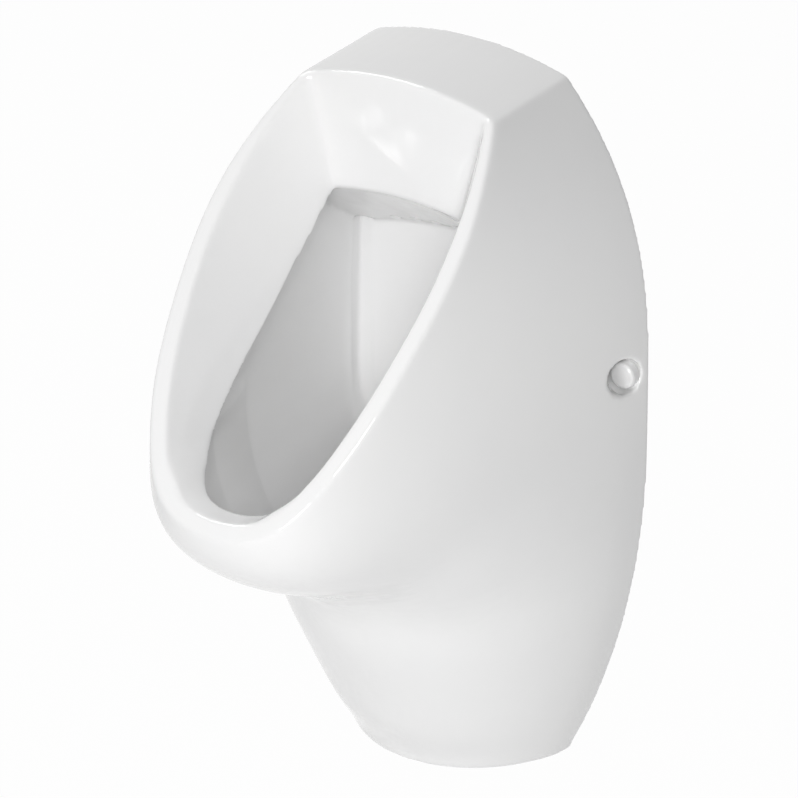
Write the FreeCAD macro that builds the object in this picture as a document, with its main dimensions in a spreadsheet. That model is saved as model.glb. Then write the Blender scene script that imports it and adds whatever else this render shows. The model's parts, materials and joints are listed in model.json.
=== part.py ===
import FreeCAD
import Part
import Sketcher
import math
import os

# Wall hung urinal with a concealed rear inlet and a concealed trap.
# Millimetres. +Z up, the front faces -Y, the wall is the plane Y = 0 and X = 0 is the plane of symmetry.
# The origin is midway between the two wall bracket holes, on the wall plane.
# "drop" is the distance below the top corners of the ceramic, "depth" the distance in front of the wall.

os.makedirs("parts", exist_ok=True)
doc = FreeCAD.newDocument("urinal")
V3 = FreeCAD.Vector

# ---------------------------------------------------------------- driving sizes
SIZES = [
    # ceramic outline against the wall
    ("fix_drop", 222.0), ("top_half", 84.0), ("top_rise", 13.0), ("wide_half", 159.6), ("wide_drop", 262.0),
    ("foot_half", 93.0), ("foot_drop", 564.0), ("shoulder_power", 3.1), ("flank_power", 2.3),
    # rim seen from the front and from the side
    ("top_depth", 103.0), ("rim_top_half", 83.0), ("rim_half", 108.5), ("rim_wide_share", 0.36),
    ("lip_drop", 257.0), ("lip_depth", 349.0), ("body_depth", 350.0), ("rim_bulge", 14.0), ("rim_width", 12.0),
    # bowl underside and lower shroud
    ("bulb_drop", 424.0), ("bulb_flank_drop", 395.0), ("neck_drop", 376.0), ("neck_depth", 190.0),
    ("foot_depth", 87.0), ("crease_blend", 20.0), ("wall", 10.0),
    # inner mouth of the rim
    ("mouth_corner_drop", 88.0), ("mouth_top_half", 55.0), ("mouth_half", 61.0), ("mouth_lip_drop", 251.0),
    ("lip_land", 36.0), ("mouth_sag", 20.0), ("panel_depth", 101.0), ("panel_drop", 81.0),
    ("ceiling_drop", 141.0),
    # bowl
    ("bowl_back", 15.0), ("bowl_half", 93.0), ("bowl_top_half", 89.0), ("bowl_corner", 12.0),
    ("crease_depth", 167.0), ("lip_undercut", 9.0), ("floor_drop", 390.0),
    # wall side
    ("flange_width", 22.0), ("flange_depth", 12.0), ("chamber_drop", 126.0),
    # water inlet
    ("inlet_drop", 58.0), ("inlet_hole", 18.0), ("inlet_lip", 21.5), ("inlet_pipe_radius", 14.0),
    ("inlet_pipe_wall", 2.0), ("inlet_reach", 34.0), ("inlet_tail", 45.0),
    ("flush_hole", 3.0), ("flush_pitch", 18.0), ("flush_depth", 21.0),
    # wall fixings
    ("fix_edge", 12.6), ("fix_hole", 7.0), ("stud_bore", 4.25), ("seat_radius", 12.6), ("seat_run", 17.0),
    ("bush_flange", 8.8), ("bush_flange_thick", 1.0), ("washer_thick", 1.2), ("nut_across", 13.0),
    ("nut_thick", 4.0), ("cap_radius", 10.5), ("cap_wall", 1.5), ("cap_length", 8.4), ("scoop_angle", 38.0), ("scoop_rise", 0.3),
    ("scoop_small", 13.0), ("scoop_large", 17.0), ("scoop_length", 40.0),
    # waste and trap
    ("drain_depth", 66.0), ("drain_hole", 23.5), ("drain_seat", 33.0), ("drain_wall", 9.0),
    ("seal_thick", 2.5), ("flange_thick", 2.5), ("tail_radius", 23.2), ("tail_bore", 20.2), ("tail_length", 30.0),
    ("ledge_radius", 22.0), ("ledge_deep", 4.0), ("under_seal_thick", 3.0), ("trap_flange", 33.0),
    ("trap_flange_thick", 4.0), ("trap_neck", 26.5), ("trap_radius", 25.0), ("trap_wall", 2.5),
    ("trap_foot_gap", 35.5), ("outlet_drop", 40.0), ("insert_radius", 18.2), ("insert_bore", 16.0),
    ("dip_radius", 15.0), ("dip_wall", 2.0), ("dip_floor_gap", 14.0), ("ring_groove", 16.75),
    ("strainer_radius", 29.0), ("strainer_thick", 1.5), ("strainer_skirt", 8.0), ("strainer_hole", 2.5),
    # outlet through the wall
    ("spigot_bore", 20.1), ("spigot_radius", 23.5), ("spigot_end", 20.0), ("pipe_radius", 20.0),
    ("pipe_wall", 2.0), ("pipe_start", 34.0), ("pipe_tail", 45.0), ("cone_long", 7.0), ("nut_radius", 29.0),
    ("nut_long", 20.0), ("sleeve_radius", 24.9), ("sleeve_start", 6.0), ("sleeve_long", 30.0),
    # clearances
    ("running_gap", 0.05), ("piece_gap", 0.3),
]
sheet = doc.addObject("Spreadsheet::Sheet", "Sizes")
for row, (name, value) in enumerate(SIZES, start=1):
    sheet.set("A%d" % row, name)
    sheet.set("B%d" % row, str(value))
    sheet.setAlias("B%d" % row, name)
doc.recompute()


class Size:
    """A size with its expression in the sheet, so that features can be bound to it."""

    def __init__(self, text, value):
        self.text = text
        self.value = float(value)

    @staticmethod
    def of(other):
        return other if isinstance(other, Size) else Size(repr(float(other)), other)

    def __add__(self, other):
        other = Size.of(other)
        return Size("(%s + %s)" % (self.text, other.text), self.value + other.value)

    def __sub__(self, other):
        other = Size.of(other)
        return Size("(%s - %s)" % (self.text, other.text), self.value - other.value)

    def __mul__(self, other):
        other = Size.of(other)
        return Size("(%s * %s)" % (self.text, other.text), self.value * other.value)

    def __truediv__(self, other):
        other = Size.of(other)
        return Size("(%s / %s)" % (self.text, other.text), self.value / other.value)

    def __radd__(self, other):
        return Size.of(other) + self

    def __rsub__(self, other):
        return Size.of(other) - self

    def __rmul__(self, other):
        return Size.of(other) * self

    def __neg__(self):
        return Size("(0 - %s)" % self.text, -self.value)


class Sheet:
    def __getattr__(self, name):
        return Size("Sizes." + name, float(sheet.get(name)))


S = Sheet()
N = {name: float(sheet.get(name)) for name, value in SIZES}
N["mouth_lip_depth"] = N["lip_depth"] - N["lip_land"]


def bind(obj, prop, size):
    obj.setExpression(prop, Size.of(size).text)


def place(obj, x=0.0, y=0.0, z=0.0, rotation=None):
    x, y, z = Size.of(x), Size.of(y), Size.of(z)
    rotation = rotation or FreeCAD.Rotation()
    obj.Placement = FreeCAD.Placement(V3(x.value, y.value, z.value), rotation)
    for axis, size in (("x", x), ("y", y), ("z", z)):
        if "Sizes." in size.text:
            bind(obj, "Placement.Base." + axis, size)


# ---------------------------------------------------------------- ceramic form
def ease(x):
    x = min(max(x, 0.0), 1.0)
    return x * x * (3.0 - 2.0 * x)


def wall_half(drop):
    """Half width of the outline against the wall: a barrel, widest at wide_drop."""
    if drop < N["wide_drop"]:
        up = (N["wide_drop"] - drop) / N["wide_drop"]
        return N["wide_half"] - (N["wide_half"] - N["top_half"]) * up ** N["shoulder_power"]
    down = (drop - N["wide_drop"]) / (N["foot_drop"] - N["wide_drop"])
    return N["wide_half"] - (N["wide_half"] - N["foot_half"]) * down ** N["flank_power"]


def rim_half_at(share):
    """Half width of the rim, from the top corners (0) to the lip (1)."""
    wide = N["rim_wide_share"]
    if share < wide:
        return N["rim_half"] - (N["rim_half"] - N["rim_top_half"]) * ((wide - share) / wide) ** 2.7
    v = (share - wide) / (1.0 - wide)
    return N["rim_half"] * max(0.0, 1.0 - v ** 1.35) ** 0.32


def rim_depth_at(share):
    slope = (N["lip_depth"] - N["top_depth"]) * share
    return N["top_depth"] + slope + N["rim_bulge"] * 4.0 * share * (1.0 - share)


def bulb_depth(drop):
    start = N["lip_drop"] - 2.0
    v = max(0.0, (drop - start) / (N["bulb_drop"] - start))
    return N["body_depth"] * max(0.0, 1.0 - v ** 1.9) ** 0.9


def bulb_half(drop):
    start = N["lip_drop"] - 7.0
    v = max(0.0, (drop - start) / (N["bulb_flank_drop"] - start))
    return N["wide_half"] * max(0.0, 1.0 - v ** 2.2) ** 0.95


def shroud_depth(drop):
    v = (drop - N["neck_drop"]) / (N["foot_drop"] - N["neck_drop"])
    if v < 0.0:
        return N["neck_depth"] + 0.35 * (N["neck_drop"] - drop)
    return N["neck_depth"] - (N["neck_depth"] - N["foot_depth"]) * (0.9 * v + 0.1 * v * v)


def reach(half, depth, p, q, angle):
    """Distance from the wall centre to the curve (x / half)^p + (y / depth)^q = 1 at an angle."""
    c, s = math.cos(angle), math.sin(angle)
    low, high = 0.0, half + depth
    for _ in range(50):
        mid = (low + high) / 2.0
        if (mid * c / half) ** p + (mid * s / depth) ** q > 1.0:
            high = mid
        else:
            low = mid
    return low


def soft_max(a, b, blend):
    if blend <= 1e-9:
        return max(a, b)
    share = max(blend - abs(a - b), 0.0) / blend
    return max(a, b) + share * share * blend / 4.0


def flank_depth(drop, front):
    """Depth of the flanks, which run from the rim down into the shroud."""
    start = N["lip_drop"] - 22.0
    u = max(0.0, (drop - start) / (N["neck_drop"] - start))
    return soft_max(shroud_depth(drop), N["neck_depth"] + (front - N["neck_depth"]) * (1.0 - u ** 1.45), 25.0)


STEPS = 8
FULL_P, FULL_Q, LOW_P, LOW_Q = 2.75, 1.25, 2.0, 1.75


def outer_points(drop, inset=0.0, with_bulb=True):
    """Half of a level section, from the wall to the middle of the front."""
    half = wall_half(drop)
    share = drop / N["lip_drop"]
    near = min(share, 0.93)
    far = N["body_depth"] + 8.0
    if share <= 0.0:
        rim_x, rim_d, base = half - 1.0, N["top_depth"], half
    else:
        rim_x, rim_d = rim_half_at(near), rim_depth_at(near)
        base = wall_half(min(drop, 0.93 * N["lip_drop"]))
    p = math.log(1.0 - (rim_d / far) ** FULL_Q) / math.log(rim_x / base)
    turn = ease((share - 0.80) / 0.13)
    p = p * (1.0 - turn) + FULL_P * turn
    front = N["body_depth"] + 8.0 * (1.0 - ease((share - 0.7) / 0.3))
    start = N["lip_drop"] - 22.0
    turn = ease((drop - start) / 100.0)
    low_p = FULL_P + (LOW_P - FULL_P) * turn
    low_q = FULL_Q + (LOW_Q - FULL_Q) * turn
    deep = flank_depth(drop, front)
    points = []
    for step in range(STEPS + 1):
        angle = math.pi / 2.0 * step / STEPS
        if drop < N["lip_drop"]:
            r = reach(half, front, p, FULL_Q, angle)
        else:
            bulb, wide = bulb_depth(drop), bulb_half(drop)
            there = with_bulb and bulb > 1.0 and wide > 1.0
            r = reach(wide, bulb, FULL_P, FULL_Q, angle) if there else 0.0
        if drop > start:
            soft = N["crease_blend"] * math.sin(angle) * ease((drop - N["lip_drop"]) / 60.0)
            r = soft_max(r, reach(half, deep, low_p, low_q, angle), soft)
        r -= inset
        points.append((r * math.cos(angle), r * math.sin(angle)))
    return points


def level_sketch(name, drop, half_points):
    """A level section: a smooth curve round the front, which runs on behind the wall plane
    by the mirror of its first step, and a straight edge there."""
    sketch = doc.addObject("Sketcher::SketchObject", name)
    first, second = half_points[0], half_points[1]
    behind = (2.0 * first[0] - second[0], -second[1])
    curve = [behind] + half_points
    right = [V3(x, -d, 0) for x, d in curve]
    left = [V3(-x, -d, 0) for x, d in reversed(curve[:-1])]
    full = right + left
    count = len(full)
    spline = Part.BSplineCurve()
    spline.interpolate(Points=full, Parameters=[i / (count - 1.0) for i in range(count)])
    sketch.addGeometry(spline, False)
    sketch.addGeometry(Part.LineSegment(full[-1], full[0]), False)
    place(sketch, z=S.fix_drop - drop)
    return sketch


def loft(name, sections, ruled=False):
    obj = doc.addObject("Part::Loft", name)
    obj.Sections = sections
    obj.Solid = True
    obj.Ruled = ruled
    return obj


def extrude(name, sketch, direction, length):
    obj = doc.addObject("Part::Extrusion", name)
    obj.Base = sketch
    obj.DirMode = "Custom"
    obj.Dir = direction
    obj.Solid = True
    obj.Symmetric = True
    obj.LengthFwd = Size.of(length).value
    if "Sizes." in Size.of(length).text:
        bind(obj, "LengthFwd", length)
    return obj


def cut(name, base, tool):
    obj = doc.addObject("Part::Cut", name)
    obj.Base = base
    obj.Tool = tool
    return obj


def fuse(name, shapes):
    obj = doc.addObject("Part::MultiFuse", name)
    obj.Shapes = shapes
    return obj


def common(name, shapes):
    obj = doc.addObject("Part::MultiCommon", name)
    obj.Shapes = shapes
    return obj


# level sections stand evenly from just above the top corners to the lip, and from the lip to the foot
UPPER = [-0.1 + 1.1 * i / 7.0 for i in range(8)]
LOWER = [(i + 1) / 9.0 for i in range(9)]


def drops():
    listed = [(S.lip_drop * share) for share in UPPER]
    listed += [S.lip_drop + (S.foot_drop - S.lip_drop) * share for share in LOWER]
    return listed


outer_sections = []
for number, drop in enumerate(drops()):
    outer_sections.append(level_sketch("outer_%02d" % number, drop, outer_points(drop.value)))
outer = loft("outer_form", outer_sections)


def arch_sketch(name, lower):
    """Everything above the arched top face, in the XZ plane."""
    half, rise = N["top_half"], N["top_rise"]
    radius = (half * half + rise * rise) / (2.0 * rise)
    centre = N["fix_drop"] + rise - radius
    radius -= lower
    wide = 0.9 * radius
    z = centre + math.sqrt(radius * radius - wide * wide)
    top = N["fix_drop"] + 120.0
    sketch = doc.addObject("Sketcher::SketchObject", name)
    sketch.Placement = FreeCAD.Placement(V3(0, 0, 0), FreeCAD.Rotation(V3(1, 0, 0), 90))
    arc = Part.Arc(V3(-wide, z, 0), V3(0, centre + radius, 0), V3(wide, z, 0))
    sketch.addGeometry(arc, False)
    corners = [V3(wide, z, 0), V3(wide, top, 0), V3(-wide, top, 0), V3(-wide, z, 0)]
    for a, b in zip(corners, corners[1:]):
        sketch.addGeometry(Part.LineSegment(a, b), False)
    return sketch


def rim_sketch(name, back=0.0):
    """Everything in front of the rim, in the YZ plane; local X is -depth."""
    sketch = doc.addObject("Sketcher::SketchObject", name)
    sketch.Placement = FreeCAD.Placement(V3(0, 0, 0), FreeCAD.Rotation(V3(1, 1, 1), 120))
    points = []
    for step in range(13):
        share = step / 12.0
        points.append(V3(-rim_depth_at(share) + back, N["fix_drop"] - N["lip_drop"] * share - back, 0))
    spline = Part.BSplineCurve()
    spline.interpolate(points)
    sketch.addGeometry(spline, False)
    first, last = points[0], points[-1]
    run = (N["lip_depth"] - N["top_depth"] - 4.0 * N["rim_bulge"]) / N["lip_drop"]
    tail = V3(last.x - 60.0 * run, last.y - 60.0, 0)
    far, top = -700.0, N["fix_drop"] + 120.0
    corners = [last, tail, V3(far, tail.y, 0), V3(far, top, 0), V3(first.x, top, 0), first]
    for a, b in zip(corners, corners[1:]):
        sketch.addGeometry(Part.LineSegment(a, b), False)
    return sketch


top_cut = extrude("top_cut", arch_sketch("top_arch", 0.0), V3(0, 1, 0), 1600.0)
rim_cut = extrude("rim_cut", rim_sketch("rim_line"), V3(1, 0, 0), 900.0)
wall_side = doc.addObject("Part::Box", "wall_side")
wall_side.Length = 800.0
wall_side.Width = 200.0
wall_side.Height = 1200.0
place(wall_side, -400.0, 0.0, -800.0)
shaped = cut("shaped_form", outer, fuse("front_cuts", [top_cut, rim_cut, wall_side]))


# ---------------------------------------------------------------- mouth of the rim
SHARES = (0.0, 0.08, 0.16, 0.25, 0.36, 0.48, 0.6, 0.7, 0.79, 0.86, 0.92, 0.96, 0.985, 1.0)


def crest_line(inset):
    """Inner border of the rim, as (x, depth, drop)."""
    run = math.hypot(N["lip_depth"] - N["top_depth"] - 4.0 * N["rim_bulge"], N["lip_drop"])
    end = 1.0 - inset / run
    wide = N["rim_wide_share"]
    full = N["rim_half"] - inset
    top = N["rim_top_half"] - 0.5 * inset
    line = []
    for share in SHARES:
        if share < wide:
            half = full - (full - top) * ((wide - share) / wide) ** 2.7
        else:
            half = full * max(0.0, 1.0 - ((share - wide) / (1.0 - wide)) ** 1.4) ** 0.36
        at = share * end
        line.append((half, rim_depth_at(at), N["lip_drop"] * at))
    return line


def mouth_point(share, grow):
    """Inner edge of the rim."""
    low = 0.4
    if share < low:
        half = N["mouth_half"] - (N["mouth_half"] - N["mouth_top_half"]) * ((low - share) / low) ** 1.6
    else:
        half = N["mouth_half"] * max(0.0, 1.0 - ((share - low) / (1.0 - low)) ** 3.2) ** 0.38
    edge_depth = N["panel_depth"] + (N["mouth_lip_depth"] - N["panel_depth"]) * share
    edge_depth -= 4.0 * N["mouth_sag"] * share * (1.0 - share)
    drop = N["mouth_corner_drop"] + (N["mouth_lip_drop"] - N["mouth_corner_drop"]) * share
    if grow:
        half = half + grow * (1.0 - ease((share - 0.8) / 0.2))
        edge_depth += grow * ease((share - 0.5) / 0.5)
    return half, edge_depth, drop


def on_plane(a, b, first, second):
    """Where the line a to b meets a plane seen edge-on in the side view."""
    slope = (second[1] - first[1]) / (second[0] - first[0])
    fa = a[2] - first[1] - slope * (a[1] - first[0])
    fb = b[2] - first[1] - slope * (b[1] - first[0])
    k = fa / (fa - fb)
    return tuple(u + (v - u) * k for u, v in zip(a, b))


def mouth_planes(grow):
    """Two planes seen edge-on, in front of the rim and behind the mouth, between which the flare runs."""
    panel, lip = N["panel_depth"], N["mouth_lip_depth"]
    top, bottom = N["mouth_corner_drop"], N["mouth_lip_drop"]
    high = ((panel, top - 133.0 - 1.5 * grow), (lip + 59.0, bottom - 1.0 - 1.5 * grow))
    low = ((panel - 2.0, top + 10.0 + 1.3 * grow), (lip - 13.0, bottom + 19.0 + 1.3 * grow))
    return high, low


def flare(name, grow=0.0):
    """The sloping inner side of the rim with the flat top panel, cut as one ruled tool."""
    panel = N["panel_depth"] - grow
    high, low = mouth_planes(0.0)
    wires = []
    crest = crest_line(N["rim_width"] - grow)
    for first, second in (high, low):
        half_points = []
        for share, c in zip(SHARES, crest):
            i = mouth_point(share, grow)
            if share == 0.0:
                c = (c[0], N["panel_depth"], c[2])
                i = (i[0], N["panel_depth"], i[2])
            x, d, h = on_plane(c, i, first, second)
            half_points.append(V3(x, -d, N["fix_drop"] - h))
        half_points[-1].x = 0.0
        mirrored = [V3(-q.x, q.y, q.z) for q in reversed(half_points[:-1])]
        full = half_points + mirrored
        count = len(full)
        spline = Part.BSplineCurve()
        spline.interpolate(Points=full, Parameters=[i / (count - 1.0) for i in range(count)])
        slope = (second[1] - first[1]) / (second[0] - first[0])
        top_h = first[1] + slope * (panel - first[0])
        a, b = full[-1], full[0]
        c1 = V3(a.x, -panel, N["fix_drop"] - top_h)
        c2 = V3(b.x, -panel, N["fix_drop"] - top_h)
        edges = [spline.toShape()]
        if grow:
            edges += [Part.makeLine(a, c1), Part.makeLine(c1, c2), Part.makeLine(c2, b)]
        else:
            edges += [Part.makeLine(a, b)]
        wires.append(Part.Wire(edges))
    shape = Part.makeLoft(wires, True, True)
    obj = doc.addObject("Part::Feature", name)
    obj.Shape = shape
    return obj


# ---------------------------------------------------------------- bowl
def bowl_points(drop, grow):
    """Half of a level section of the bowl: back corner, side line, crease, front curve."""
    lip = N["mouth_lip_drop"]
    floor = N["floor_drop"]
    end = N["drain_seat"] + 1.0
    centre = N["drain_depth"]
    v = min(max((drop - lip) / (floor - lip), 0.0), 1.0)
    up = max((lip - drop) / lip, 0.0)
    half = N["bowl_top_half"] + (N["bowl_half"] - N["bowl_top_half"]) * ease((drop - 90.0) / (lip - 90.0))
    vf = min(max((drop - lip + 24.0) / (floor - lip + 24.0), 0.0), 1.0)
    vr = min(max((drop - lip - 25.0) / (floor - lip - 25.0), 0.0), 1.0)
    front_half = end + (half - end) * (1.0 - vf ** 2.6) ** 1.15
    rear_half = end + (half - end) * (1.0 - vr ** 2.3) ** 0.95
    lip_nose = N["mouth_lip_depth"] + N["lip_undercut"]
    if drop < lip:
        nose = lip_nose - 206.0 * (up * lip / 191.0) ** 1.05
        crease = N["crease_depth"] - 97.0 * max((lip - 26.0 - drop) / 165.0, 0.0) ** 1.15
    else:
        far = centre + end
        nose = far + (lip_nose - far) * (1.0 - v ** 2.3) ** 1.1
        crease = centre + (N["crease_depth"] - centre) * (1.0 - v ** 2.2) ** 0.9
    back = N["bowl_back"] + (centre - end - N["bowl_back"]) * v ** 5.0
    back -= grow
    front_half += grow
    rear_half += grow
    nose += grow
    curve = []
    steps = 6
    for step in range(steps + 1):
        angle = math.pi / 2.0 * step / steps
        x = front_half * math.cos(angle) ** (2.0 / 2.05)
        d = crease + (nose - crease) * math.sin(angle) ** (2.0 / 1.75)
        curve.append((x if step < steps else 0.0, d))
    return back, rear_half, curve


def bowl_sketch(name, drop):
    sketch = doc.addObject("Sketcher::SketchObject", name)
    back, rear_half, curve = bowl_points(drop.value, 0.0)
    r = N["bowl_corner"]
    full = [V3(x, -d, 0) for x, d in curve] + [V3(-x, -d, 0) for x, d in reversed(curve[:-1])]
    count = len(full)
    spline = Part.BSplineCurve()
    spline.interpolate(Points=full, Parameters=[i / (count - 1.0) for i in range(count)])
    a1, a3 = V3(rear_half - r, -back, 0), V3(rear_half, -back - r, 0)
    b1, b3 = V3(-a1.x, a1.y, 0), V3(-a3.x, a3.y, 0)
    for part in (Part.LineSegment(a1, a3), Part.LineSegment(a3, full[0]), spline,
                 Part.LineSegment(full[-1], b3), Part.LineSegment(b3, b1), Part.LineSegment(b1, a1)):
        sketch.addGeometry(part, False)
    place(sketch, z=S.fix_drop - drop)
    return sketch


BOWL_UPPER = (0.2, 0.4, 0.6, 0.8, 1.0)
BOWL_LOWER = (0.17, 0.34, 0.51, 0.68, 0.84, 1.0)


def bowl(name):
    listed = [S.mouth_lip_drop * share for share in BOWL_UPPER]
    listed += [S.mouth_lip_drop + (S.floor_drop - S.mouth_lip_drop) * share for share in BOWL_LOWER]
    sections = []
    for number, drop in enumerate(listed):
        sections.append(bowl_sketch("%s_%02d" % (name, number), drop))
    return loft(name, sections, ruled=True)


def lid_sketch(name, grow=0.0):
    """Everything above the underside of the rim, in the YZ plane."""
    sketch = doc.addObject("Sketcher::SketchObject", name)
    sketch.Placement = FreeCAD.Placement(V3(0, 0, 0), FreeCAD.Rotation(V3(1, 1, 1), 120))
    up = 1.25 * grow
    edge = []
    for step in range(9):
        x, d, h = mouth_point(step / 8.0, 0.0)
        edge.append(V3(-d, N["fix_drop"] - h + up, 0))
    end = V3(edge[-1].x - 80.0, edge[-1].y - 40.0, 0)
    spline = Part.BSplineCurve()
    spline.interpolate(edge)
    top = N["fix_drop"] + 120.0
    sketch.addGeometry(spline, False)
    corners = [edge[-1], end, V3(end.x, top, 0), V3(edge[0].x, top, 0), edge[0]]
    for a, b in zip(corners, corners[1:]):
        sketch.addGeometry(Part.LineSegment(a, b), False)
    return sketch


def ceiling(name, grow=0.0):
    """Everything above the arched ceiling, which falls from the panel to the back of the bowl."""
    radius = (N["top_half"] ** 2 + N["top_rise"] ** 2) / (2.0 * N["top_rise"])
    slope = (N["ceiling_drop"] - N["panel_drop"]) / (N["panel_depth"] - N["bowl_back"])
    crown = N["fix_drop"] - N["panel_drop"] + 1.25 * grow
    wide = 150.0
    side = crown - radius + math.sqrt(radius * radius - wide * wide)
    top = N["fix_drop"] + 300.0
    sketch = doc.addObject("Sketcher::SketchObject", name + "_line")
    turn = FreeCAD.Rotation(V3(1, 0, 0), 90)
    sketch.Placement = FreeCAD.Placement(V3(0, -N["panel_depth"], 0), turn)
    sketch.addGeometry(Part.Arc(V3(-wide, side, 0), V3(0, crown, 0), V3(wide, side, 0)), False)
    corners = [V3(wide, side, 0), V3(wide, top, 0), V3(-wide, top, 0), V3(-wide, side, 0)]
    for a, b in zip(corners, corners[1:]):
        sketch.addGeometry(Part.LineSegment(a, b), False)
    obj = doc.addObject("Part::Extrusion", name)
    obj.Base = sketch
    obj.DirMode = "Custom"
    obj.Dir = V3(0, 1, -slope)
    obj.Solid = True
    obj.LengthFwd = 190.0
    return obj


def lid(name, grow=0.0):
    rim = extrude(name + "_rim", lid_sketch(name + "_line", grow), V3(1, 0, 0), 700.0)
    return fuse(name, [rim, ceiling(name + "_ceiling", grow)])


bowl_form = cut("bowl_form", bowl("bowl_loft"), lid("lid"))
flare_form = flare("flare_form")


# ---------------------------------------------------------------- hollow behind the bowl
def polygon_solid(name, rings):
    """A plain solid through rings of corners, for the rough inside of the casting."""
    wires = []
    for ring in rings:
        wires.append(Part.makePolygon(ring + [ring[0]]))
    obj = doc.addObject("Part::Feature", name)
    obj.Shape = Part.makeLoft(wires, True, True)
    return obj


def mirrored(half_ring):
    return half_ring + [V3(-q.x, q.y, q.z) for q in reversed(half_ring) if abs(q.x) > 1e-6]


def inner_form(name, inset, first, last, count):
    """The outline moved inwards, between two drops."""
    rings = []
    for number in range(count):
        drop = first + (last - first) * number / (count - 1.0)
        ring = [V3(x, -d, N["fix_drop"] - drop) for x, d in outer_points(drop, inset, False)[::2]]
        ring[-1].x = 0.0
        base = V3(ring[0].x, 5.0, ring[0].z)
        rings.append(mirrored([base] + ring))
    return polygon_solid(name, rings)


def bowl_wall(name, grow):
    """The bowl with its wall, from the ceiling to the underside of the floor."""
    rings = []
    lip, floor = N["mouth_lip_drop"], N["floor_drop"]
    for drop in [0.4 * lip] + [lip + (floor - lip) * share for share in (0.0, 0.35, 0.64, 0.86, 1.0)]:
        back, half, curve = bowl_points(drop, grow)
        ring = [V3(x, -d, N["fix_drop"] - drop) for x, d in curve[::3]]
        ring[-1].x = 0.0
        ring = [V3(half, -back, ring[0].z)] + ring
        rings.append(mirrored(ring))
    foot = [V3(q.x, q.y, q.z - grow) for q in rings[-1]]
    rings.append(foot)
    return polygon_solid(name, rings)


def flare_wall(name, grow):
    """The sloping inner side of the rim with its wall."""
    high, low = mouth_planes(grow)
    rings = []
    crest = crest_line(0.0)
    for first, second in (high, low):
        ring = []
        for share, c in list(zip(SHARES, crest))[::2] + [(1.0, crest[-1])]:
            i = mouth_point(share, 0.0)
            out = grow * (1.0 - share ** 6)
            i = (i[0] + out, i[1] + grow * share ** 6, i[2])
            x, d, h = on_plane(c, i, first, second)
            ring.append(V3(max(x, 0.0), -d, N["fix_drop"] - h))
        ring[-1].x = 0.0
        panel = -(N["panel_depth"] - grow)
        slope = (second[1] - first[1]) / (second[0] - first[0])
        rear = V3(ring[0].x, panel, N["fix_drop"] - first[1] - slope * (-panel - first[0]))
        rings.append(mirrored([rear] + ring))
    return polygon_solid(name, rings)


def block(name, half_x, depth_a, depth_b, drop_a, drop_b):
    """A plain block between two depths and two drops."""
    box = doc.addObject("Part::Box", name)
    bind(box, "Length", half_x * 2.0)
    bind(box, "Width", depth_b - depth_a)
    bind(box, "Height", drop_b - drop_a)
    place(box, -half_x, -depth_b, S.fix_drop - drop_b)
    return box


def rod(name, radius, length, x, y, z, axis="z"):
    """A cylinder from a point upwards, or towards the wall side with axis y."""
    obj = doc.addObject("Part::Cylinder", name)
    bind(obj, "Radius", radius)
    bind(obj, "Height", length)
    turn = FreeCAD.Rotation(V3(1, 0, 0), -90) if axis == "y" else FreeCAD.Rotation()
    place(obj, x, y, z, turn)
    return obj


big = Size("400", 400.0)
zero = Size("0", 0.0)
floor_z = S.fix_drop - S.floor_drop
seat_z = floor_z - S.seal_thick - S.flange_thick - 0.5
under_z = seat_z - S.drain_wall
fix_x = S.wide_half - S.fix_edge

inner = inner_form("inner_form", N["wall"], -20.0, N["foot_drop"] - N["wall"], 9)
inner_rim = extrude("inner_rim_cut", rim_sketch("inner_rim_line", N["wall"]), V3(1, 0, 0), 900.0)
inner_top = extrude("inner_top_cut", arch_sketch("inner_top_arch", N["wall"]), V3(0, 1, 0), 1600.0)
drain_boss = rod("drain_boss", S.drain_seat + S.wall, S.floor_drop - 360.0, 0.0, -S.drain_depth, under_z)
bind(drain_boss, "Height", S.fix_drop - 360.0 - under_z)
fix_bosses = []
for side in (-1, 1):
    x = fix_x * side
    boss = rod("fix_boss_%d" % side, S.seat_radius + S.wall, S.flange_depth + S.seat_run + S.wall, x,
               -(S.flange_depth + S.seat_run + S.wall), zero, "y")
    fix_bosses.append(boss)
rim_walls = fuse("rim_walls", [inner_rim, inner_top, flare_wall("flare_wall", N["wall"])] + fix_bosses)
upper_core = cut("upper_core", inner, rim_walls)
core = cut("hollow_core", upper_core, fuse("bowl_walls", [bowl_wall("bowl_wall", N["wall"] + 1.0), drain_boss]))
chamber_zone = block("chamber_zone", big, S.flange_depth, big, -100.0 + zero, S.chamber_drop)
lower_zone = block("lower_zone", big, S.flange_depth, big, S.chamber_drop + S.wall, S.foot_drop)
chamber = common("chamber", [upper_core, chamber_zone, ceiling("chamber_floor", N["wall"])])
lower = common("lower_hollow", [core, lower_zone])
opening = inner_form("opening_form", N["flange_width"], N["chamber_drop"] + N["wall"],
                     N["foot_drop"] - N["flange_width"], 7)
opening_zone = block("opening_zone", big, -4.0 + zero, S.flange_depth + 0.5, zero, S.foot_drop)
back_opening = cut("back_opening", common("opening_part", [opening, opening_zone]), fuse("back_zones", [
    bowl_wall("bowl_wall_again", N["wall"] + 1.0)]
    + [rod("fix_pad_%d" % side, S.seat_radius + S.wall, 40.0 + zero, fix_x * side, -30.0 + zero, zero, "y")
       for side in (-1, 1)]))


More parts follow.
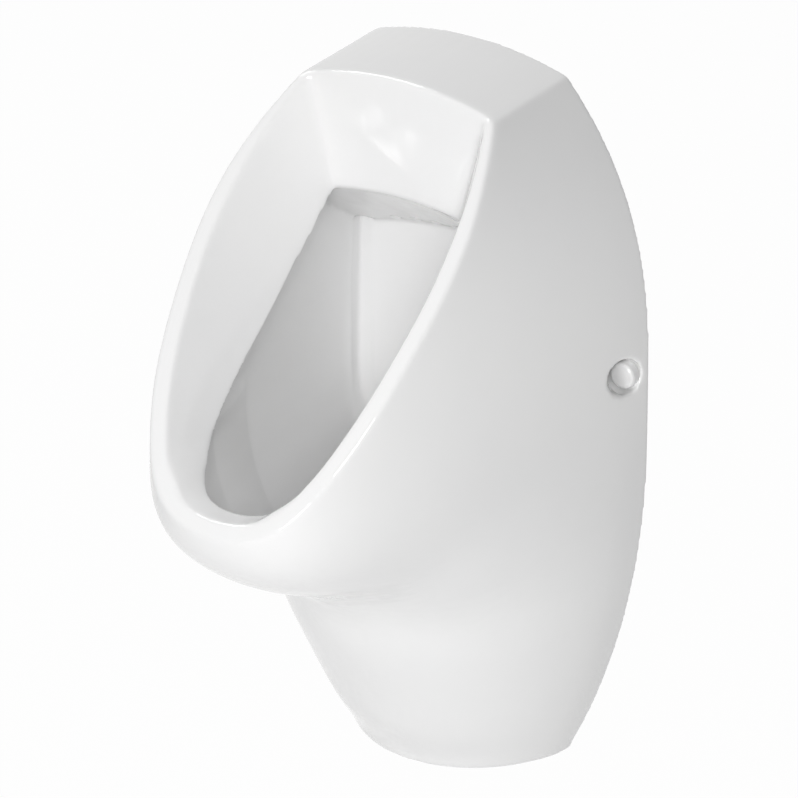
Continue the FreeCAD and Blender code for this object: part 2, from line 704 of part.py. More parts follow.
# ---------------------------------------------------------------- holes in the ceramic
inlet_z = S.fix_drop - S.inlet_drop
cuts = [flare_form, bowl_form, chamber, lower, back_opening]
cuts.append(rod("inlet_bore", S.inlet_hole, S.flange_depth + 8.0, 0.0, -(S.flange_depth + 4.0), inlet_z, "y"))
cuts.append(rod("inlet_recess", S.inlet_lip + 1.0, 3.0 + zero, 0.0, -3.0 + zero, inlet_z, "y"))
for number in range(-3, 4):
    drop = S.ceiling_drop + 8.0
    hole = rod("flush_hole_%d" % (number + 3), S.flush_hole, drop - S.chamber_drop + 8.0,
               S.flush_pitch * number, -S.flush_depth, S.fix_drop - drop)
    cuts.append(hole)
cuts.append(rod("drain_recess", S.drain_seat, floor_z - seat_z + 6.0, 0.0, -S.drain_depth, seat_z))
cuts.append(rod("drain_bore", S.drain_hole, S.drain_wall + 20.0, 0.0, -S.drain_depth, under_z - 5.0))
for side in (-1, 1):
    x = fix_x * side
    cuts.append(rod("fix_hole_%d" % side, S.fix_hole, S.flange_depth + 6.0, x, -(S.flange_depth + 3.0), zero, "y"))
    cuts.append(rod("fix_seat_%d" % side, S.seat_radius, S.seat_run, x, -(S.flange_depth + S.seat_run), zero, "y"))
    scoop = doc.addObject("Part::Cone", "fix_scoop_%d" % side)
    bind(scoop, "Radius1", S.scoop_small)
    bind(scoop, "Radius2", S.scoop_large)
    bind(scoop, "Height", S.scoop_length)
    angle = math.radians(N["scoop_angle"])
    way = V3(side * math.sin(angle), -math.cos(angle), N["scoop_rise"])
    place(scoop, x, -(S.flange_depth + 5.0), zero, FreeCAD.Rotation(V3(0, 0, 1), way))
    cuts.append(scoop)
ceramic = cut("ceramic_body", shaped, fuse("ceramic_cuts", cuts))
ceramic.Label = "ceramic_body"


# ---------------------------------------------------------------- turned and flat pieces
def body(label):
    obj = doc.addObject("PartDesign::Body", label)
    obj.Label = label
    return obj


def plane_of(obj, role):
    return next(f for f in obj.Origin.OriginFeatures if f.Role == role)


def outline(owner, name, role, corners):
    """A closed sketch of straight lines, each corner held by two dimensions bound to the sheet."""
    sketch = owner.newObject("Sketcher::SketchObject", name)
    sketch.AttachmentSupport = [(plane_of(owner, role), "")]
    sketch.MapMode = "FlatFace"
    count = len(corners)
    points = [V3(Size.of(x).value, Size.of(y).value, 0) for x, y in corners]
    for i in range(count):
        sketch.addGeometry(Part.LineSegment(points[i], points[(i + 1) % count]), False)
    for i in range(count):
        sketch.addConstraint(Sketcher.Constraint("Coincident", i, 2, (i + 1) % count, 1))
    for i, (x, y) in enumerate(corners):
        for kind, size in (("DistanceX", Size.of(x)), ("DistanceY", Size.of(y))):
            number = sketch.addConstraint(Sketcher.Constraint(kind, -1, 1, i, 1, size.value))
            if "Sizes." in size.text:
                sketch.setExpression("Constraints[%d]" % number, size.text)
    return sketch


def turned(label, corners, x, y, z, axis="z"):
    """A piece turned about its own axis from a profile of (radius, height) corners.
    With axis y the height runs from the wall outwards."""
    obj = body(label)
    sketch = outline(obj, label + "_profile", "XZ_Plane", corners)
    turn = obj.newObject("PartDesign::Revolution", label + "_turned")
    turn.Profile = sketch
    turn.ReferenceAxis = (sketch, ["V_Axis"])
    turn.Angle = 360.0
    obj.Tip = turn
    rotation = FreeCAD.Rotation(V3(1, 0, 0), 90) if axis == "y" else FreeCAD.Rotation()
    place(obj, x, y, z, rotation)
    return obj


def ring(label, bore, radius, height, x, y, z, axis="z"):
    return turned(label, [(bore, 0.0), (radius, 0.0), (radius, height), (bore, height)], x, y, z, axis)


pieces = [ceramic]
gap = S.running_gap

# wall fixings: bush, washer, thin nut and pull-off cap on each side
for side, word in ((-1, "left"), (1, "right")):
    x = fix_x * side
    seat = S.flange_depth
    pieces.append(turned("bush_" + word, [
        (S.stud_bore, 0.0), (S.fix_hole - gap, 0.0), (S.fix_hole - gap, seat), (S.bush_flange, seat),
        (S.bush_flange, seat + S.bush_flange_thick), (S.stud_bore, seat + S.bush_flange_thick)],
        x, zero, zero, "y"))
    seat = seat + S.bush_flange_thick
    pieces.append(ring("washer_" + word, S.stud_bore, S.bush_flange, S.washer_thick, x, -seat, zero, "y"))
    seat = seat + S.washer_thick
    nut = body("nut_" + word)
    across = S.nut_across / 2.0
    point = across / math.cos(math.pi / 6.0)
    hexagon = [(point, 0.0), (point * 0.5, across), (-point * 0.5, across),
               (-point, 0.0), (-point * 0.5, -across), (point * 0.5, -across)]
    shape = outline(nut, "nut_%s_outline" % word, "XZ_Plane", hexagon)
    circle = shape.addGeometry(Part.Circle(V3(0, 0, 0), V3(0, 0, 1), N["stud_bore"] - 0.25), False)
    shape.addConstraint(Sketcher.Constraint("Coincident", circle, 3, -1, 1))
    number = shape.addConstraint(Sketcher.Constraint("Radius", circle, N["stud_bore"] - 0.25))
    shape.setExpression("Constraints[%d]" % number, (S.stud_bore - 0.25).text)
    pad = nut.newObject("PartDesign::Pad", "nut_%s_pad" % word)
    pad.Profile = shape
    bind(pad, "Length", S.nut_thick)
    nut.Tip = pad
    place(nut, x, -seat, zero)
    pieces.append(nut)
    inside_radius = S.cap_radius - S.cap_wall
    base = S.flange_depth + S.piece_gap
    far = base + S.cap_length
    pieces.append(turned("cap_" + word, [
        (0.0, far - S.cap_wall), (inside_radius, far - S.cap_wall), (inside_radius, base), (S.cap_radius, base),
        (S.cap_radius, far - 2.2), (S.cap_radius - 0.7, far - 0.8), (S.cap_radius - 2.4, far), (0.0, far)],
        x, zero, zero, "y"))

# water inlet: flush pipe pushed into a rubber seal in the back of the ceramic
pieces.append(turned("inlet_seal", [
    (S.inlet_pipe_radius + gap, 0.4), (S.inlet_lip, 0.4), (S.inlet_lip, 2.8), (S.inlet_hole - gap, 2.8),
    (S.inlet_hole - gap, S.flange_depth + S.piece_gap), (S.inlet_lip - 1.0, S.flange_depth + S.piece_gap),
    (S.inlet_lip - 2.0, S.flange_depth + 3.0), (S.inlet_pipe_radius + gap, S.flange_depth + 3.0)],
    zero, zero, inlet_z, "y"))
pieces.append(turned("inlet_pipe", [
    (S.inlet_pipe_radius - S.inlet_pipe_wall, -S.inlet_tail), (S.inlet_pipe_radius, -S.inlet_tail),
    (S.inlet_pipe_radius, -3.0), (S.inlet_pipe_radius + 2.5, -3.0), (S.inlet_pipe_radius + 2.5, 0.0),
    (S.inlet_pipe_radius, 0.0), (S.inlet_pipe_radius, S.inlet_reach - 2.0), (S.inlet_pipe_radius - 1.0, S.inlet_reach),
    (S.inlet_pipe_radius - S.inlet_pipe_wall, S.inlet_reach)], zero, zero, inlet_z, "y"))

# waste: seal, flange, under seal, trap, lift-out insert with its ring, strainer
drain_y = -S.drain_depth
pieces.append(ring("flange_seal", S.drain_hole + 0.5, S.drain_seat - 1.5, S.seal_thick, zero, drain_y, seat_z))
flange_z = seat_z + S.seal_thick
tail = S.tail_length
pieces.append(turned("waste_flange", [
    (S.tail_bore, -tail), (S.tail_radius, -tail), (S.tail_radius, 0.0), (S.drain_seat - 0.6, 0.0),
    (S.drain_seat - 0.6, S.flange_thick - 1.0), (S.drain_seat - 1.6, S.flange_thick),
    (S.ledge_radius, S.flange_thick), (S.ledge_radius, S.flange_thick - S.ledge_deep),
    (S.tail_bore, S.flange_thick - S.ledge_deep)], zero, drain_y, flange_z))
pieces.append(ring("under_seal", S.drain_hole + 0.5, S.trap_flange - 1.0, S.under_seal_thick, zero, drain_y,
                   under_z - S.under_seal_thick))
trap_z = under_z - S.under_seal_thick
tail_end = trap_z - (flange_z - tail)
neck = S.tail_radius + gap
neck_deep = Size(tail_end.text, tail_end.value) + 1.0
inner_radius = S.trap_radius - S.trap_wall
trap_bottom = S.fix_drop - S.foot_drop + S.trap_foot_gap
trap_length = trap_z - trap_bottom
trap = body("trap_body")
profile = outline(trap, "trap_profile", "XZ_Plane", [
    (0.0, -trap_length), (S.trap_radius - 4.0, -trap_length), (S.trap_radius, 4.0 - trap_length),
    (S.trap_radius, -neck_deep - 3.0), (S.trap_neck, -neck_deep), (S.trap_neck, -S.trap_flange_thick),
    (S.trap_flange, -S.trap_flange_thick), (S.trap_flange, 0.0), (neck, 0.0), (neck, -neck_deep),
    (inner_radius, -neck_deep), (inner_radius, 6.5 - trap_length),
    (inner_radius - 4.0, S.trap_wall - trap_length), (0.0, S.trap_wall - trap_length)])
turn = trap.newObject("PartDesign::Revolution", "trap_turned")
turn.Profile = profile
turn.ReferenceAxis = (profile, ["V_Axis"])
turn.Angle = 360.0


def round_sketch(owner, name, radii, z, start):
    """Circles in a plane parallel to the wall, at a height and at a distance behind the axis."""
    sketch = owner.newObject("Sketcher::SketchObject", name)
    sketch.AttachmentSupport = [(plane_of(owner, "XZ_Plane"), "")]
    sketch.MapMode = "FlatFace"
    sketch.AttachmentOffset = FreeCAD.Placement(V3(0, z.value, -start.value), FreeCAD.Rotation())
    sketch.setExpression("AttachmentOffset.Base.y", z.text)
    sketch.setExpression("AttachmentOffset.Base.z", (-start).text)
    for radius in radii:
        circle = sketch.addGeometry(Part.Circle(V3(0, 0, 0), V3(0, 0, 1), radius.value), False)
        sketch.addConstraint(Sketcher.Constraint("Coincident", circle, 3, -1, 1))
        number = sketch.addConstraint(Sketcher.Constraint("Radius", circle, radius.value))
        sketch.setExpression("Constraints[%d]" % number, radius.text)
    return sketch


outlet_z = -S.outlet_drop
spigot_long = S.drain_depth - S.spigot_end
pad = trap.newObject("PartDesign::Pad", "spigot")
pad.Profile = round_sketch(trap, "spigot_outline", [S.spigot_radius], outlet_z, inner_radius)
bind(pad, "Length", spigot_long - inner_radius)
pad.Reversed = True
socket = trap.newObject("PartDesign::Pocket", "spigot_socket")
socket.Reversed = True
socket.Profile = round_sketch(trap, "socket_outline", [S.spigot_bore], outlet_z, spigot_long)
bind(socket, "Length", spigot_long - S.drain_depth + S.pipe_start + S.piece_gap)
way = trap.newObject("PartDesign::Pocket", "spigot_way")
way.Reversed = True
way.Profile = round_sketch(trap, "way_outline", [S.pipe_radius - S.pipe_wall], outlet_z, spigot_long)
bind(way, "Length", spigot_long - inner_radius + 4.0)
trap.Tip = way
place(trap, zero, drain_y, trap_z)
pieces.append(trap)

groove = S.ring_groove
ledge_z = flange_z + S.flange_thick - S.ledge_deep
dip_length = ledge_z - trap_bottom - S.dip_floor_gap
pieces.append(turned("trap_insert", [
    (S.dip_radius - S.dip_wall, -dip_length), (S.dip_radius, -dip_length), (S.dip_radius, -30.0),
    (S.insert_radius, -26.0), (S.insert_radius, -19.0), (groove, -19.0), (groove, -15.0), (S.insert_radius, -15.0),
    (S.insert_radius, 0.0), (S.ledge_radius - gap, 0.0), (S.ledge_radius - gap, 2.4), (S.insert_bore, 2.4),
    (S.insert_bore, -12.0), (S.dip_radius - S.dip_wall, -20.0)], zero, drain_y, ledge_z))
ring_inner = groove + gap
ring_outer = S.tail_bore - gap
middle = (ring_inner + ring_outer) / 2.0
pieces.append(turned("insert_ring", [
    (ring_inner, -17.7), (middle, -18.6), (ring_outer, -17.7), (ring_outer, -16.3), (middle, -15.4),
    (ring_inner, -16.3)], zero, drain_y, ledge_z))

strainer = body("strainer")
profile = outline(strainer, "strainer_profile", "XZ_Plane", [
    (0.0, 0.0), (S.insert_bore - gap - 1.2, 0.0), (S.insert_bore - gap - 1.2, -S.strainer_skirt),
    (S.insert_bore - gap, -S.strainer_skirt), (S.insert_bore - gap, 0.0), (S.strainer_radius, 0.0),
    (S.strainer_radius, S.strainer_thick - 0.6), (S.strainer_radius - 0.8, S.strainer_thick),
    (0.0, S.strainer_thick)])
turn = strainer.newObject("PartDesign::Revolution", "strainer_turned")
turn.Profile = profile
turn.ReferenceAxis = (profile, ["V_Axis"])
turn.Angle = 360.0
holes = strainer.newObject("Sketcher::SketchObject", "strainer_holes")
holes.AttachmentSupport = [(plane_of(strainer, "XY_Plane"), "")]
holes.MapMode = "FlatFace"
for count, away in ((1, 0.0), (6, 7.5)):
    for number in range(count):
        angle = 2.0 * math.pi * number / count
        centre = (away * math.cos(angle), away * math.sin(angle))
        circle = holes.addGeometry(Part.Circle(V3(centre[0], centre[1], 0), V3(0, 0, 1), N["strainer_hole"]), False)
        bound = holes.addConstraint(Sketcher.Constraint("Radius", circle, N["strainer_hole"]))
        holes.setExpression("Constraints[%d]" % bound, "Sizes.strainer_hole")
pierce = strainer.newObject("PartDesign::Pocket", "strainer_pierced")
pierce.Profile = holes
pierce.Midplane = True
pierce.Length = 12.0
strainer.Tip = pierce
place(strainer, zero, drain_y, flange_z + S.flange_thick)
pieces.append(strainer)

# outlet through the wall: pipe, cone seal and nut on the trap, rubber sleeve in the wall
outlet_level = trap_z + outlet_z
pieces.append(turned("outlet_pipe", [
    (S.pipe_radius - S.pipe_wall, -S.pipe_tail), (S.pipe_radius, -S.pipe_tail), (S.pipe_radius, S.pipe_start),
    (S.pipe_radius - S.pipe_wall, S.pipe_start)], zero, zero, outlet_level, "y"))
end = S.spigot_end
pieces.append(turned("cone_seal", [
    (S.pipe_radius + gap, end - S.cone_long), (S.spigot_radius, end - S.cone_long),
    (S.spigot_radius, end - S.piece_gap), (S.pipe_radius + gap, end - S.piece_gap)],
    zero, zero, outlet_level, "y"))
back = end - S.cone_long - S.piece_gap
pieces.append(turned("outlet_nut", [
    (S.pipe_radius + S.piece_gap, back - 3.0), (S.nut_radius - 2.0, back - 3.0), (S.nut_radius, back),
    (S.nut_radius, back - 3.0 + S.nut_long), (S.spigot_radius + gap, back - 3.0 + S.nut_long),
    (S.spigot_radius + gap, back), (S.pipe_radius + S.piece_gap, back)], zero, zero, outlet_level, "y"))
pieces.append(turned("wall_sleeve", [
    (S.pipe_radius + gap, -S.sleeve_start - S.sleeve_long), (S.sleeve_radius, -S.sleeve_start - S.sleeve_long),
    (S.sleeve_radius, -S.sleeve_start - 3.0), (S.sleeve_radius + 2.0, -S.sleeve_start - 3.0),
    (S.sleeve_radius + 2.0, -S.sleeve_start), (S.pipe_radius + gap, -S.sleeve_start)],
    zero, zero, outlet_level, "y"))

# ---------------------------------------------------------------- check and write
doc.recompute()
for obj in doc.Objects:
    if "Invalid" in obj.State or "Error" in obj.State:
        raise RuntimeError("feature failed: " + obj.Label)
for piece in pieces:
    shape = piece.Shape
    if shape.isNull() or not shape.isValid() or shape.Volume <= 0.0:
        raise RuntimeError("bad shape: " + piece.Label)
    shape.exportStep("parts/%s.step" % piece.Label)
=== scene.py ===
import json
import math

import bmesh
import bpy
import numpy
from mathutils import Matrix, Vector


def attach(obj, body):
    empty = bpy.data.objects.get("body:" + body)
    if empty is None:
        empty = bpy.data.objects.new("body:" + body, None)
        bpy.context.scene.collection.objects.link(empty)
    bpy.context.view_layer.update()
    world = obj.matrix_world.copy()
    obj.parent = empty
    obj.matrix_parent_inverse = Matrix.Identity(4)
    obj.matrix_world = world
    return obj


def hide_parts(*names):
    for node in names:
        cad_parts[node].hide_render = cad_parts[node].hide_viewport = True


# A wall hung urinal: glazed ceramic with its caps, fixings, flush pipe and trap. Metres, +Z up, front to -Y.
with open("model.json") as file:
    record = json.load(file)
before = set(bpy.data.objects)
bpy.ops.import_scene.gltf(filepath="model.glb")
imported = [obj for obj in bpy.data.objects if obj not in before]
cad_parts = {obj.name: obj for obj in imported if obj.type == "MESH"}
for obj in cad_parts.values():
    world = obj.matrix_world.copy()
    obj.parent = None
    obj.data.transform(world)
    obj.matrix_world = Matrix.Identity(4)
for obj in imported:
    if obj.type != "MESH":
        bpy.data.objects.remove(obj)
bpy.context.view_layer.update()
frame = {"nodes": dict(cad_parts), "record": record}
scene = bpy.context.scene
scene.view_settings.view_transform = "Standard"
MM = 0.001


# ---------------------------------------------------------------- camera
AZIMUTH, ELEVATION = math.radians(33.4), math.radians(26.1)
LENS_PIXELS, PICTURE_PIXELS = 7000.0, 798.0
TARGET = Vector((0.559, -100.0, -25.68)) * MM
DISTANCE = 5.25


def place_camera():
    data = bpy.data.cameras.new("camera")
    data.sensor_width = 36.0
    data.lens = data.sensor_width * LENS_PIXELS / PICTURE_PIXELS
    data.clip_end = 100.0
    camera = bpy.data.objects.new("camera", data)
    scene.collection.objects.link(camera)
    right = Vector((math.cos(AZIMUTH), math.sin(AZIMUTH), 0.0))
    back = Vector((math.sin(AZIMUTH) * math.cos(ELEVATION), -math.cos(AZIMUTH) * math.cos(ELEVATION),
                   math.sin(ELEVATION)))
    turn = Matrix((right, back.cross(right), back)).transposed()
    camera.matrix_world = Matrix.Translation(TARGET + back * DISTANCE) @ turn.to_4x4()
    scene.camera = camera


place_camera()


# ---------------------------------------------------------------- shader expressions
class Value:
    """A shader socket that takes part in Python sums."""

    def __init__(self, nodes, socket):
        self.nodes, self.socket = nodes, socket

    def __mul__(self, other):
        return self.nodes.add("ShaderNodeMath", {"operation": "MULTIPLY"}, {0: self, 1: other})

    __rmul__ = __mul__


class Nodes:
    """A node tree, with one way to add a node to it."""

    def __init__(self, tree):
        self.tree = tree

    def add(self, kind, settings=None, sockets=None, output=0):
        node = self.tree.nodes.new(kind)
        for name, value in (settings or {}).items():
            setattr(node, name, value)
        for name, value in (sockets or {}).items():
            if isinstance(value, Value):
                self.tree.links.new(value.socket, node.inputs[name])
            else:
                node.inputs[name].default_value = value
        return Value(self, node.outputs[output])


class Finish(Nodes):
    """A material with one Principled shader, and the pattern nodes that feed it."""

    def __init__(self, name, **constants):
        self.material = bpy.data.materials.new(name)
        self.material.use_nodes = True
        super().__init__(self.material.node_tree)
        self.shader = self.tree.nodes["Principled BSDF"]
        for socket, value in constants.items():
            label = socket.replace("_", " ").title().replace("Ior", "IOR")
            self.shader.inputs[label].default_value = value

    def feed(self, name, value):
        self.tree.links.new(value.socket, self.shader.inputs[name])

    def noise(self, scale, detail=2.0):
        at = self.add("ShaderNodeTexCoord", output="Object")
        place = self.add("ShaderNodeMapping", sockets={"Vector": at})
        return self.add("ShaderNodeTexNoise", sockets={"Vector": place, "Scale": scale, "Detail": detail})

    def spread(self, pattern, low, high):
        """The pattern's middle range stretched from low to high."""
        sockets = {"Value": pattern, "From Min": 0.3, "From Max": 0.7, "To Min": low, "To Max": high}
        return self.add("ShaderNodeMapRange", sockets=sockets)

    def tint(self, pattern, first, second):
        share = self.spread(pattern, 0.0, 1.0)
        colours = {"Factor": share, 6: (*first, 1.0), 7: (*second, 1.0)}
        return self.add("ShaderNodeMix", {"data_type": "RGBA"}, colours, output=2)

    def bump(self, height, distance, strength):
        sockets = {"Height": height, "Distance": distance, "Strength": strength}
        self.feed("Normal", self.add("ShaderNodeBump", sockets=sockets))


def glaze():
    f = Finish("white_glaze", ior=1.52, specular_ior_level=0.5)
    f.feed("Base Color", f.tint(f.noise(9.0), (0.912, 0.912, 0.914), (0.926, 0.925, 0.922)))
    f.feed("Roughness", f.spread(f.noise(30.0), 0.035, 0.06))
    f.bump(f.noise(28.0, 1.0), 0.35 * MM, 0.5)
    return f.material


def moulded(name, first, second, rough):
    f = Finish(name, ior=1.49)
    f.feed("Base Color", f.tint(f.noise(40.0), first, second))
    f.feed("Roughness", f.spread(f.noise(120.0), rough - 0.05, rough + 0.05))
    f.bump(f.noise(900.0, 3.0), 0.04 * MM, 0.4)
    return f.material


def metal(name, first, second, rough):
    f = Finish(name, metallic=1.0)
    f.feed("Base Color", f.tint(f.noise(60.0), first, second))
    f.feed("Roughness", f.spread(f.noise(300.0, 3.0), rough - 0.06, rough + 0.06))
    f.bump(f.noise(500.0, 3.0), 0.02 * MM, 0.3)
    return f.material


def grey(value):
    return (value, value, value)


FINISHES = {
    "glaze": glaze(),
    "cap_plastic": moulded("white_cap_plastic", grey(0.86), grey(0.84), 0.22),
    "bush_plastic": moulded("natural_bush_plastic", (0.74, 0.74, 0.71), (0.70, 0.70, 0.67), 0.45),
    "fixing_steel": metal("zinc_plated_steel", (0.62, 0.62, 0.60), (0.50, 0.51, 0.52), 0.32),
    "rubber": moulded("black_seal_rubber", grey(0.022), grey(0.035), 0.62),
    "pipe_metal": metal("polished_flush_pipe", grey(0.82), grey(0.78), 0.10),
    "flange_metal": metal("satin_waste_metal", grey(0.66), grey(0.58), 0.30),
    "strainer_metal": metal("satin_strainer_metal", grey(0.68), grey(0.60), 0.26),
    "trap_plastic": moulded("white_trap_plastic", (0.76, 0.76, 0.75), (0.72, 0.72, 0.71), 0.38),
    "insert_plastic": moulded("grey_insert_plastic", (0.24, 0.24, 0.25), (0.20, 0.20, 0.21), 0.42),
    "pipe_plastic": moulded("grey_waste_pipe", (0.36, 0.37, 0.38), (0.32, 0.33, 0.34), 0.40),
}
for row in frame["record"]["subparts"]:
    piece = frame["nodes"][row["node"]]
    piece.data.materials.clear()
    piece.data.materials.append(FINISHES[row["material_slot"]])


# ---------------------------------------------------------------- ceramic
# "Depth" is the distance in front of the wall, "drop" the distance below the top corners, and "share" runs
# from the top of the rim or mouth to its lip.
TOP_CORNERS = 0.222
RIM_TOP_DEPTH, LIP_DEPTH, LIP_DROP, RIM_BULGE = 0.103, 0.349, 0.257, 0.014
PANEL_DEPTH, MOUTH_LIP_DEPTH, MOUTH_SAG = 0.101, 0.313, 0.02
MOUTH_TOP_DROP, MOUTH_LIP_DROP = 0.088, 0.251
CREASE_DEPTH, CREASE_SLOPE, CREASE_REACH = 0.167, 0.25, 0.06
BOWL_BACK, BOWL_CORNER = 0.015, 0.012
DRAIN_DEPTH = 0.066
NECK_FILL_PLACE, NECK_FILL_TURN, NECK_FILL_SIZE = (0.0, -0.1871, -0.1591), 46.0, (0.012, 0.008, 0.034)
VOXEL = 1.4 * MM
FACES = 185000


def link(name, mesh):
    piece = bpy.data.objects.new(name, mesh)
    scene.collection.objects.link(piece)
    return piece


def apply_modifiers(piece):
    graph = bpy.context.evaluated_depsgraph_get()
    mesh = bpy.data.meshes.new_from_object(piece.evaluated_get(graph))
    piece.modifiers.clear()
    piece.data = mesh


def ramp(value, start, end):
    """0 before start, 1 after end."""
    return numpy.clip((value - start) / (end - start), 0.0, 1.0)


def falls(value, start, end):
    """1 before start, 0 after end."""
    return ramp(-value, -end, -start)


def read(mesh, kind):
    """Every vertex's place or normal, as x, depth in front of the wall, drop below the top corners."""
    flat = numpy.empty(len(mesh.vertices) * 3, dtype=numpy.float32)
    if kind == "place":
        mesh.vertices.foreach_get("co", flat)
    else:
        mesh.vertex_normals.foreach_get("vector", flat)
    x, y, z = flat.reshape(-1, 3).T
    return (x, -y, TOP_CORNERS - z) if kind == "place" else (x, -y, -z)


def soften(piece, name, weight, rounds):
    """Smooths the vertices by the weight of each, which rounds an edge the more the more rounds it has."""
    group = piece.vertex_groups.new(name=name)
    level = numpy.rint(weight * 8.0)
    for step in range(1, 9):
        chosen = numpy.nonzero(level == step)[0]
        if len(chosen):
            group.add(chosen.tolist(), step / 8.0, "REPLACE")
    smooth = piece.modifiers.new(name, "SMOOTH")
    smooth.factor, smooth.iterations, smooth.vertex_group = 0.5, rounds, name


def rim_depth(drop):
    share = numpy.clip(drop / LIP_DROP, 0.0, 1.0)
    return RIM_TOP_DEPTH + (LIP_DEPTH - RIM_TOP_DEPTH) * share + 4.0 * RIM_BULGE * share * (1.0 - share)


def mouth_depth(share):
    return PANEL_DEPTH + (MOUTH_LIP_DEPTH - PANEL_DEPTH) * share - 4.0 * MOUTH_SAG * share * (1.0 - share)


def inside_bowl(piece):
    """1 on the surfaces that look into the bowl."""
    x, depth, drop = read(piece.data, "place")
    nx, n_depth, n_drop = read(piece.data, "normal")
    facing = -x * nx + (0.14 - depth) * n_depth + (0.21 - drop) * n_drop
    near = (abs(x) < 0.1) & (depth > 0.012) & (drop > 0.1) & (drop < 0.41)
    return (facing > 0.0) & near


def move(piece, x, depth, drop):
    places = numpy.stack([x, -depth, TOP_CORNERS - drop], axis=1)
    piece.data.vertices.foreach_set("co", places.astype(numpy.float32).ravel())


def press_crease(piece):
    """Turns the nose of the bowl inward from the crease, which leaves a sharp line down each side."""
    x, depth, drop = read(piece.data, "place")
    past = numpy.clip(depth - CREASE_DEPTH, 0.0, CREASE_REACH)
    shift = CREASE_SLOPE * past * (1.0 - 1.4 * past / 0.1)
    shift = shift * ramp(drop, 0.222, 0.235) * ramp(abs(x), 0.015, 0.045)
    shift = shift * inside_bowl(piece) * (drop < 0.385)
    move(piece, x - numpy.sign(x) * shift, depth, drop)


def press_corners(piece):
    """Squares the two upright corners at the back of the bowl, which the casting has as chamfers."""
    x, depth, drop = read(piece.data, "place")
    nx, n_depth, n_drop = read(piece.data, "normal")
    across = (depth - BOWL_BACK) / BOWL_CORNER
    slanted = inside_bowl(piece) & (abs(x) > 0.06) & (-nx * numpy.sign(x) > 0.25) & (n_depth > 0.25)
    shift = BOWL_CORNER * numpy.clip(numpy.minimum(across, 1.0 - across), 0.0, 0.44)
    shift = shift * slanted * ramp(drop, 0.13, 0.142) * falls(drop, 0.28, 0.32)
    move(piece, x + numpy.sign(x) * shift, depth - shift, drop)


def even_mesh(source):
    """The casting as one mesh of even faces."""
    work = bmesh.new()
    work.from_mesh(source.data)
    work.transform(source.matrix_world)
    bmesh.ops.remove_doubles(work, verts=work.verts, dist=0.01 * MM)
    # At the neck the hollow all but meets the outside, so a block behind that spot keeps the mesh closed.
    place, turn = Matrix.Translation(NECK_FILL_PLACE), Matrix.Rotation(math.radians(NECK_FILL_TURN), 4, "X")
    bmesh.ops.create_cube(work, size=1.0, matrix=place @ turn @ Matrix.Diagonal((*NECK_FILL_SIZE, 1.0)))
    mesh = bpy.data.meshes.new("glazed_body")
    work.to_mesh(mesh)
    work.free()
    piece = link("glazed_body", mesh)
    remesh = piece.modifiers.new("even_faces", "REMESH")
    remesh.mode = "VOXEL"
    remesh.voxel_size = VOXEL
    apply_modifiers(piece)
    return piece


def soften_edges(piece):
    """Rounds each edge as far as the glaze rounds it, and evens the panel and the lower bowl."""
    x, depth, drop = read(piece.data, "place")
    off_wall = ramp(depth, 0.015, 0.04)
    soften(piece, "everywhere", numpy.ones(len(x)), 8)
    soften(piece, "foot_edge", ramp(drop, 0.535, 0.552) * off_wall, 60)
    soften(piece, "top_edge", falls(drop, 0.015, 0.03) * off_wall, 20)
    soften(piece, "rim_edges", ramp(depth - rim_depth(drop), -0.014, -0.008) * (drop < 0.27), 12)

    share = (drop - MOUTH_TOP_DROP) / (MOUTH_LIP_DROP - MOUTH_TOP_DROP)
    beside = (share > -0.06) & (share < 1.08) & (abs(x) < 0.075)
    soften(piece, "mouth_edge", falls(abs(depth - mouth_depth(share)), 0.007, 0.014) * beside, 26)

    corner = falls(abs(abs(x) - (0.071 - 0.18 * drop)), 0.006, 0.012)
    corner = corner * ramp(drop, 0.008, 0.016) * falls(drop, 0.079, 0.087)
    soften(piece, "panel_corners", corner * (depth > 0.088) * (depth < 0.135), 50)

    faces_front = read(piece.data, "normal")[1] > 0.75
    panel = falls(abs(x), 0.05, 0.064) * ramp(drop, 0.004, 0.016) * falls(drop, 0.07, 0.082)
    soften(piece, "panel", panel * faces_front * (depth > 0.08) * (depth < 0.125), 130)

    from_drain = numpy.hypot(x, depth - DRAIN_DEPTH)
    bowl = inside_bowl(piece) * ramp(drop, 0.215, 0.245) * ramp(from_drain, 0.04, 0.06)
    soften(piece, "bowl", bowl * falls(depth, 0.31, 0.34), 110)
    apply_modifiers(piece)


def thin_out(piece):
    """Fewer faces, which keep the shading of the dense mesh."""
    dense = link("dense_body", piece.data.copy())
    dense.data.shade_smooth()
    thin = piece.modifiers.new("fewer_faces", "DECIMATE")
    thin.ratio = FACES / (2.0 * len(piece.data.polygons))
    apply_modifiers(piece)
    piece.data.validate()
    piece.data.shade_smooth()
    keep = piece.modifiers.new("dense_normals", "DATA_TRANSFER")
    keep.object = dense
    keep.use_loop_data = True
    keep.data_types_loops = {"CUSTOM_NORMAL"}
    keep.loop_mapping = "POLYINTERP_NEAREST"
    apply_modifiers(piece)
    bpy.data.objects.remove(dense)


def glazed_body():
    """The casting with its edges run soft by the glaze."""
    piece = even_mesh(frame["nodes"]["ceramic_body"])
    soften_edges(piece)
    press_crease(piece)
    press_corners(piece)
    piece.vertex_groups.clear()
    soften(piece, "after_pressing", numpy.ones(len(piece.data.vertices)), 3)
    apply_modifiers(piece)
    thin_out(piece)
    piece.data.materials.clear()
    piece.data.materials.append(FINISHES["glaze"])
    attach(piece, "urinal")
    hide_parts("ceramic_body")


glazed_body()


# ---------------------------------------------------------------- floor and light
FLOOR_Z, FLOOR_HALF, FLOOR_GREY = -0.66, 30.0, 0.86
CAMERA_WHITE = 0.97
SURROUND = 0.22
CENTRE = (0.0, -0.1, 0.0)
LAMP_DISTANCE = 3.2


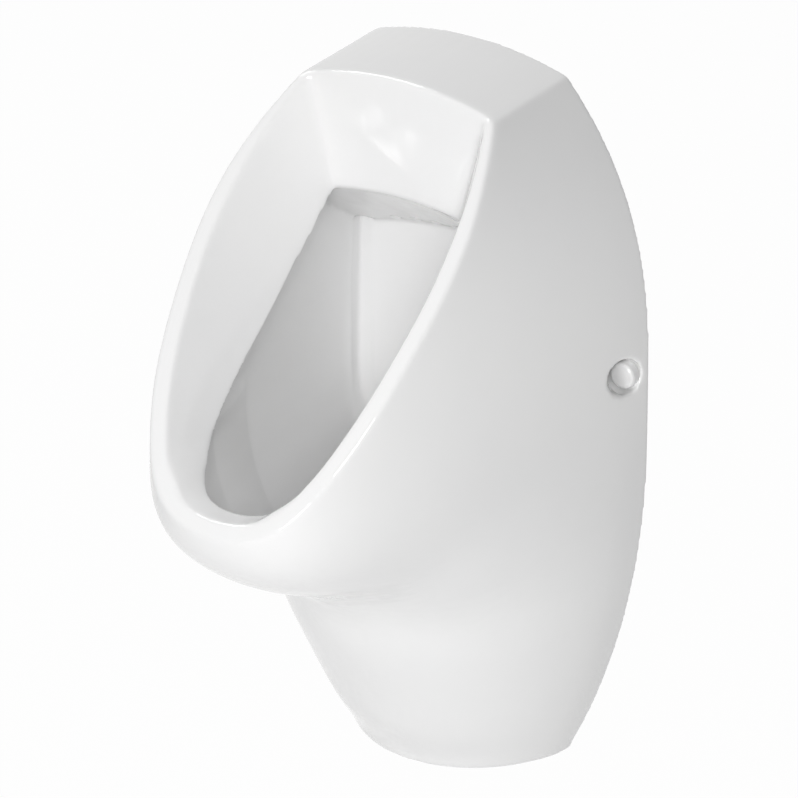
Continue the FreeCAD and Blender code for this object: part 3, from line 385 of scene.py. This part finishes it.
def plain_rays(nodes):
    """1 for what the camera sees straight on, in a reflection or through glass."""
    rays = nodes.add("ShaderNodeLightPath", output="Is Camera Ray")
    outputs = rays.socket.node.outputs
    for name in ("Is Glossy Ray", "Is Transmission Ray"):
        either = {0: rays, 1: Value(nodes, outputs[name])}
        rays = nodes.add("ShaderNodeMath", {"operation": "MAXIMUM"}, either)
    return rays


def floor():
    work = bmesh.new()
    bmesh.ops.create_grid(work, x_segments=1, y_segments=1, size=FLOOR_HALF)
    bmesh.ops.translate(work, verts=work.verts, vec=(0.0, 0.0, FLOOR_Z))
    mesh = bpy.data.meshes.new("floor")
    work.to_mesh(mesh)
    work.free()
    piece = link("floor", mesh)
    f = Finish("pale_floor", base_color=(*grey(FLOOR_GREY), 1.0), roughness=0.9)
    white = f.add("ShaderNodeEmission", sockets={"Strength": 1.0})
    lit = Value(f, f.shader.outputs[0])
    mixed = f.add("ShaderNodeMixShader", sockets={0: plain_rays(f) * CAMERA_WHITE, 1: lit, 2: white})
    f.tree.links.new(mixed.socket, f.tree.nodes["Material Output"].inputs["Surface"])
    mesh.materials.append(f.material)


def lamp(name, place, aim, width, height, watts):
    data = bpy.data.lights.new(name, "AREA")
    data.shape = "RECTANGLE"
    data.size, data.size_y = width, height
    data.energy = watts
    piece = bpy.data.objects.new(name, data)
    scene.collection.objects.link(piece)
    place, aim = Vector(place), Vector(aim)
    turn = (place - aim).to_track_quat("Z", "Y")
    piece.matrix_world = Matrix.Translation(place) @ turn.to_matrix().to_4x4()


def around(azimuth, elevation):
    """A place round the object: azimuth 0 is straight in front, positive to the right."""
    azimuth, elevation = math.radians(azimuth), math.radians(elevation)
    flat = LAMP_DISTANCE * math.cos(elevation)
    return (flat * math.sin(azimuth), CENTRE[1] - flat * math.cos(azimuth), LAMP_DISTANCE * math.sin(elevation))


def studio():
    """Even pale surroundings that the camera and reflections see as plain white."""
    sky = bpy.data.worlds.new("studio")
    scene.world = sky
    sky.use_nodes = True
    nodes = Nodes(sky.node_tree)
    ground = nodes.tree.nodes["Background"]
    ground.inputs["Color"].default_value = (*grey(1.0), 1.0)
    level = {"Value": plain_rays(nodes), "To Min": SURROUND, "To Max": 1.0}
    nodes.tree.links.new(nodes.add("ShaderNodeMapRange", sockets=level).socket, ground.inputs["Strength"])
    lamp("key", around(33.0, 27.0), CENTRE, 0.7, 0.7, 33.0)
    lamp("front", around(14.0, 12.0), CENTRE, 0.9, 0.9, 30.0)
    lamp("high_left", around(-105.0, 55.0), CENTRE, 1.4, 1.4, 40.0)
    # The last two lamps show only as the small highlights on the panel.
    lamp("window_high", (-0.685, -1.091, -0.321), (-0.0253, -0.101, 0.2026), 0.022, 0.013, 0.0016)
    lamp("window_low", (-0.661, -1.091, -0.353), (-0.0058, -0.101, 0.1775), 0.03, 0.03, 0.006)


floor()
studio()
